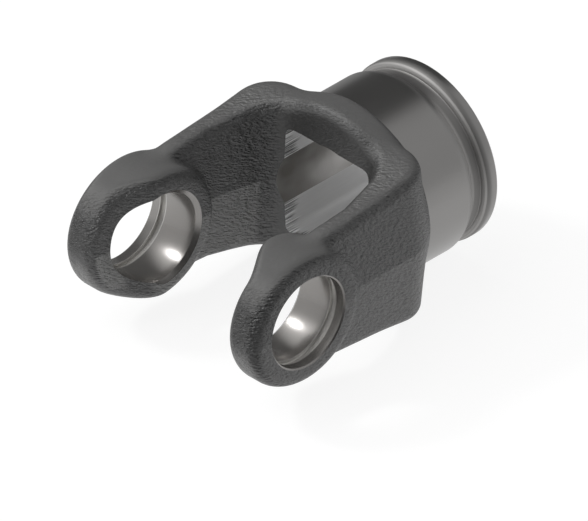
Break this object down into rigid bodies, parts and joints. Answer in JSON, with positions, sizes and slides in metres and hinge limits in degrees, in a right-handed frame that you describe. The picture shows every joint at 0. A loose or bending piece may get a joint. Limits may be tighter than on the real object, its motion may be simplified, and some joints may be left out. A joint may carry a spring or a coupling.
{
  "type": "forged yoke",
  "caption": "Forged steel fork of a driveline joint: eared arms with ring-grooved bearing bores on a U-shaped base, and a round turned hub with a broached rectangular bore.",
  "frame": {"origin": "centre of the joint, where the ears' bore axis crosses the hub's axis", "axes": "+X along the hub, from the joint towards the hub's end; +Y along the ears' bores; +Z square to both, across the parting line of the forging"},
  "size_m": [0.1021, 0.0726, 0.0564],
  "materials": {
    "forged_steel": "dark grey as-forged skin, satin turned hub, bright bored ears"
  },
  "bodies": {
    "root": {"forged_yoke": "forged_steel"}
  },
  "joints": []
}
